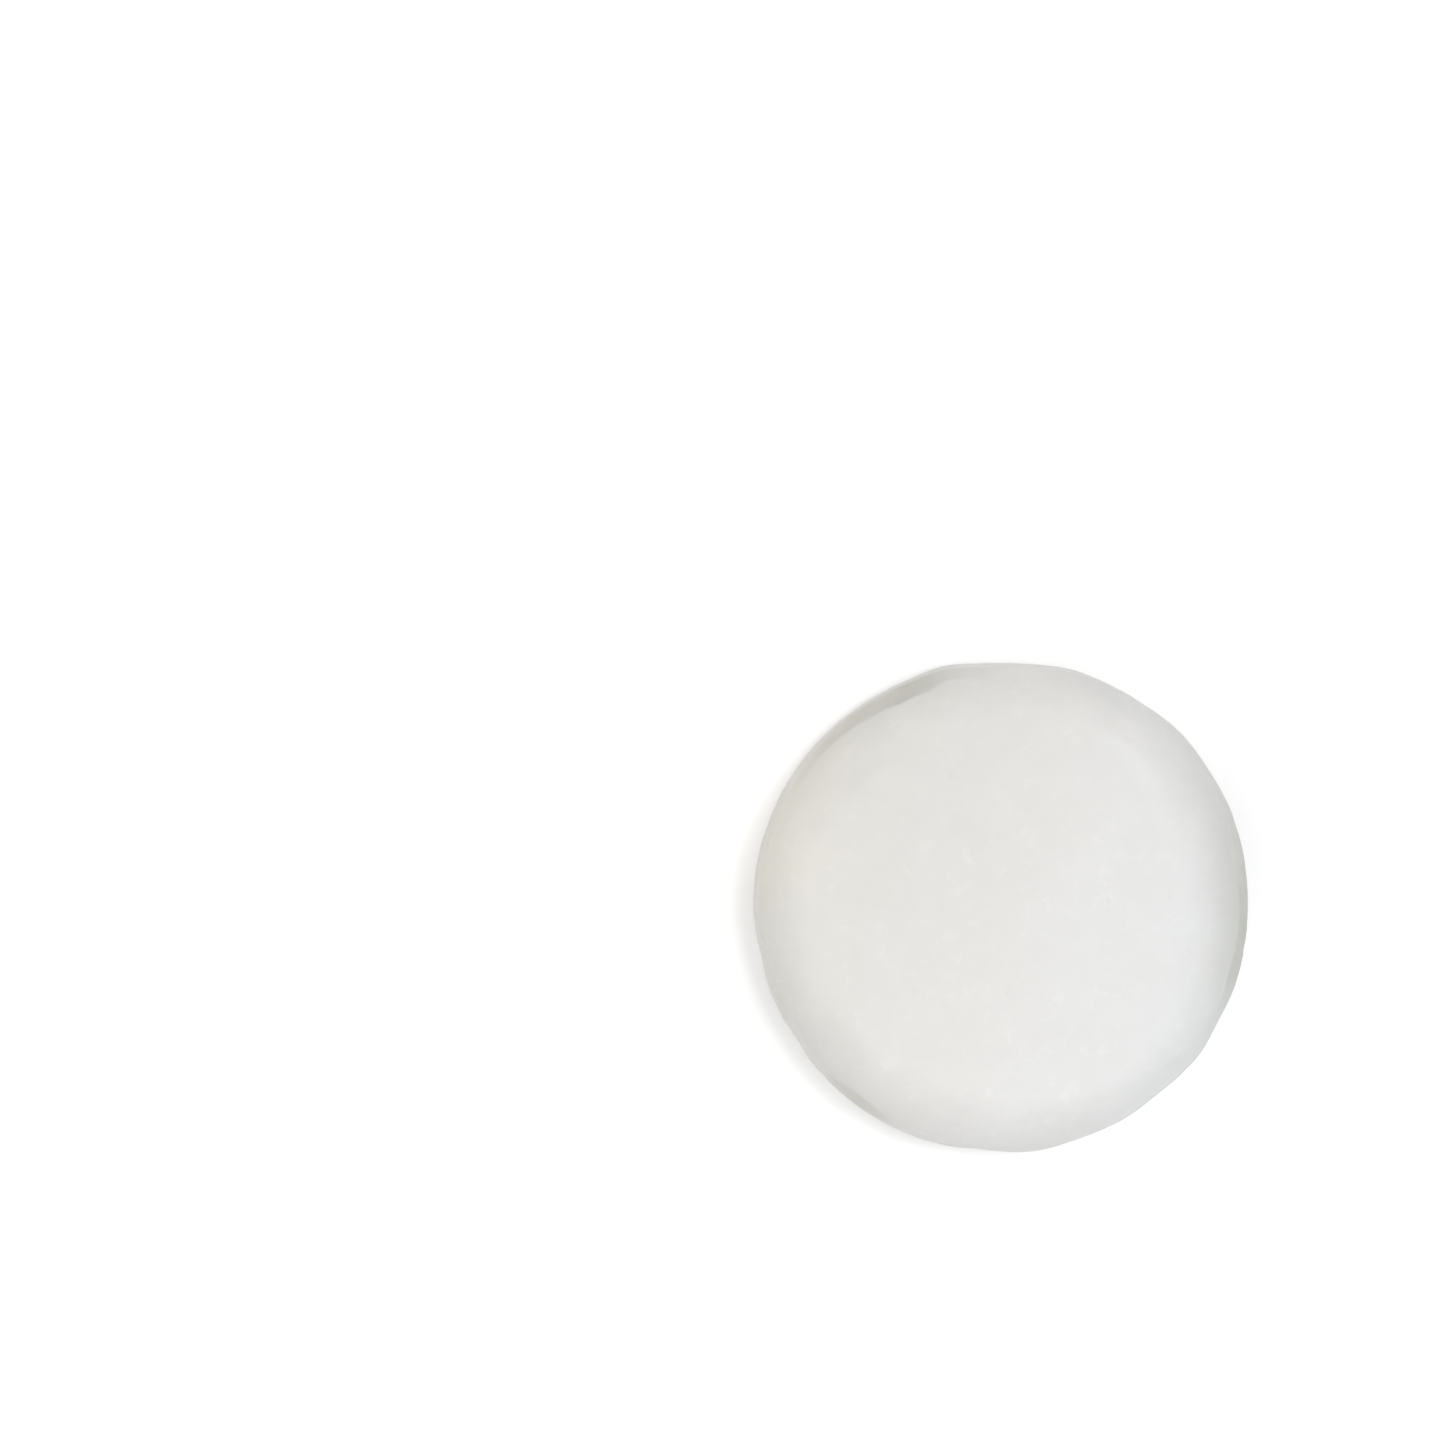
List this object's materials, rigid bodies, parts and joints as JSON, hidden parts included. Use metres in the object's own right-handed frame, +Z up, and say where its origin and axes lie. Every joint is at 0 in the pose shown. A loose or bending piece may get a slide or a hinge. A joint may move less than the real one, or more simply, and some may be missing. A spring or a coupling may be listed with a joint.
{
  "type": "shaving soap puck",
  "caption": "Round cake of hard white shaving soap with a low crown, a rolled shoulder and a flat base, to stand in a shaving bowl or mug and be lathered with a brush.",
  "frame": {"origin": "centre of the flat base, on the surface that the puck stands on", "axes": "+Z up through the middle of the crown, square to the base; +Y towards the flattest stretch of the rim"},
  "size_m": [0.0703, 0.0695, 0.025],
  "materials": {
    "soap": "satin"
  },
  "bodies": {
    "root": {"soap_puck": "soap"}
  },
  "joints": []
}
